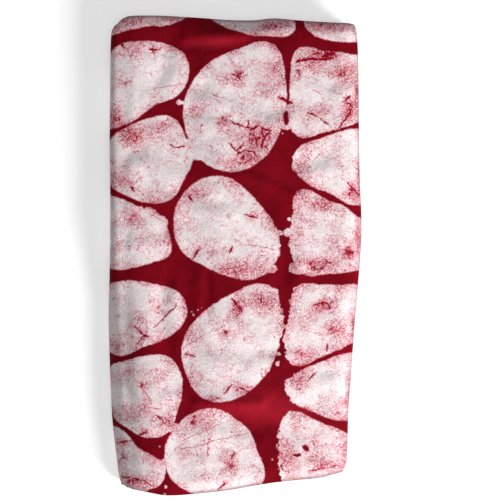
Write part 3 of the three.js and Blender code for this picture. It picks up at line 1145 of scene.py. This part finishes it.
def channel_colour(graph, place):
    """The deep red between the stones, made paler by painted highlights along the crease ridges."""
    deep = graph.noise(place, 23.0, 3.0, 0.6)
    dye = graph.blend(deep.step(0.3, 0.7), paint(99, 2, 15), paint(114, 3, 19))
    # painted highlight: paler red where the crease ridges catch the light
    return graph.blend(graph.reading("painted_crease_highlight", 2), dye, paint(150, 22, 38))


def stone_colour(graph, place, dyed, cracked, tatter):
    """The white cotton of the stones, with the dye, painted shade along the outer folds and the brown spot on
    it.
    """
    shade = graph.noise(place, 18.0, 2.0).step(0.35, 0.65)
    cotton = graph.blend(shade, paint(212, 208, 209), paint(225, 219, 219))
    washed = graph.blend(cracked.step(0.1, 0.9) * 0.7, cotton, paint(222, 196, 202))
    pink = graph.blend(dyed.step(0.0, 0.5), washed, paint(190, 108, 122))
    stained = graph.blend(dyed.step(0.4, 0.9), pink, paint(130, 8, 30))
    # painted shade: grey-pink along the outer folds, where they turn away from the light
    fold_shaded = graph.blend(graph.reading("painted_fold_shade", 2) * 0.8, stained, paint(124, 92, 96))
    spot = 1 - (graph.distance(place, *SPOT) + tatter * 2).step(1.6, SPOT_REACH + 1)
    return graph.blend(spot * 0.55, fold_shaded, paint(140, 118, 92))


def weave_bump(graph, place, x, y, bent):
    """The threads, the slubs in them, and the cotton's soft wrinkles."""
    thread = 2 * math.pi / THREAD_PITCH
    weave = (x * thread).sine() * (y * thread).sine()
    slub_x = graph.noise(graph.vector("MULTIPLY", place, (0.12, 1.6, 1)), 1.0, 2.0)
    slub_y = graph.noise(graph.vector("MULTIPLY", place, (1.6, 0.12, 1)), 1.0, 2.0)
    wrinkle = graph.noise(place, 13.0, 3.0, 0.55)
    fold = (graph.noise(graph.vector("MULTIPLY", bent, (0.7, 1.2, 1)), 26.0, 1.0) - 0.5).size()
    height = weave * 0.012 + (slub_x + slub_y) * 0.05 + wrinkle * 0.8 + fold * 1.8
    return graph.node("ShaderNodeBump", None, {"Strength": 0.8, "Distance": 0.001, "Height": height})


def adire_cotton():
    """Plain-weave cotton, dyed deep red round stones that wax kept white."""
    graph = Graph("adire_cotton")
    place = graph.reading("flat_place", 1)
    x, y = (graph.node("ShaderNodeSeparateXYZ", None, {0: place}, out) for out in (0, 1))
    edge = wax_edge(graph, place, x, y)
    white = 1 - edge.step(-0.35, 0.35)
    wandered = graph.vector("SUBTRACT", graph.noise(place, 5.0, 3.0, 0.6, out=1), (0.5, 0.5, 0.5))
    drifted = graph.vector("MULTIPLY_ADD", wandered, (4.0, 4.0, 0), place)
    bent = graph.vector("MULTIPLY_ADD", wandered, (14, 14, 0), place)
    tatter = graph.noise(place, 2.2, 2.0, 0.6)
    dyed, cracked = dye_through_wax(graph, place, drifted, bent, tatter, edge)
    red = channel_colour(graph, place)
    stones = stone_colour(graph, place, dyed, cracked, tatter)
    inputs = {
        "Base Color": graph.blend(white, red, stones),
        "Roughness": white * 0.1 + 0.8,
        "Normal": weave_bump(graph, place, x, y, bent),
        "Specular IOR Level": 0.04,
    }
    shader = graph.node("ShaderNodeBsdfPrincipled", None, inputs)
    graph.node("ShaderNodeOutputMaterial", None, {"Surface": shader})
    return graph.material


FLOOR_HALF = 4.0  # in metres


def plain_floor():
    """A pale floor, far wider than the packet."""
    graph = Graph("pale_floor")
    inputs = {
        "Base Color": (0.55, 0.55, 0.55, 1),
        "Roughness": 0.9,
        "Emission Color": (1, 1, 1, 1),
        "Emission Strength": 0.5,
    }
    shader = graph.node("ShaderNodeBsdfPrincipled", None, inputs)
    graph.node("ShaderNodeOutputMaterial", None, {"Surface": shader})
    mesh = bpy.data.meshes.new("pale_floor")
    corners = [(x * FLOOR_HALF, y * FLOOR_HALF, 0) for x, y in ((-1, -1), (1, -1), (1, 1), (-1, 1))]
    mesh.from_pydata(corners, [], [(0, 1, 2, 3)])
    mesh.materials.append(graph.material)
    add_object("pale_floor", mesh)


def add_light(name, place, size, power, colour):
    """A square soft light that faces the packet."""
    light = bpy.data.lights.new(name, "AREA")
    light.shape = "SQUARE"
    light.size = size
    light.energy = power
    light.color = colour
    lamp = add_object(name, light)
    lamp.location = place
    lamp.rotation_euler = (-Vector(place)).to_track_quat("-Z", "Y").to_euler()


def studio():
    world = bpy.data.worlds.new("studio")
    world.use_nodes = True
    sky = world.node_tree.nodes["Background"]
    sky.inputs["Color"].default_value = (1.0, 1.0, 1.0, 1)
    sky.inputs["Strength"].default_value = 0.15
    bpy.context.scene.world = world
    add_light("overhead_panel", (0.1, -0.1, 2.2), 1.4, 15.5, (1.0, 1.0, 1.0))
    add_light("side_panel", (1.5, -1.2, 0.9), 0.75, 89, (1.0, 0.99, 0.985))
    bpy.context.scene.view_settings.view_transform = "Standard"


CAMERA_PLACE = (0.0126, 0.0044, 1.361)  # in metres
CAMERA_LENS = 120


def overhead_camera():
    """Straight above the face, with the packet as large in the frame as in the photo."""
    lens = bpy.data.cameras.new("overhead")
    lens.lens = CAMERA_LENS
    lens.sensor_width = 36
    camera = add_object("overhead", lens)
    camera.location = CAMERA_PLACE
    bpy.context.scene.camera = camera


overhead_camera()
studio()
plain_floor()
cloth = folded_cloth(adire_cotton())
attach(cloth, "root")
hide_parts("adire_cloth")
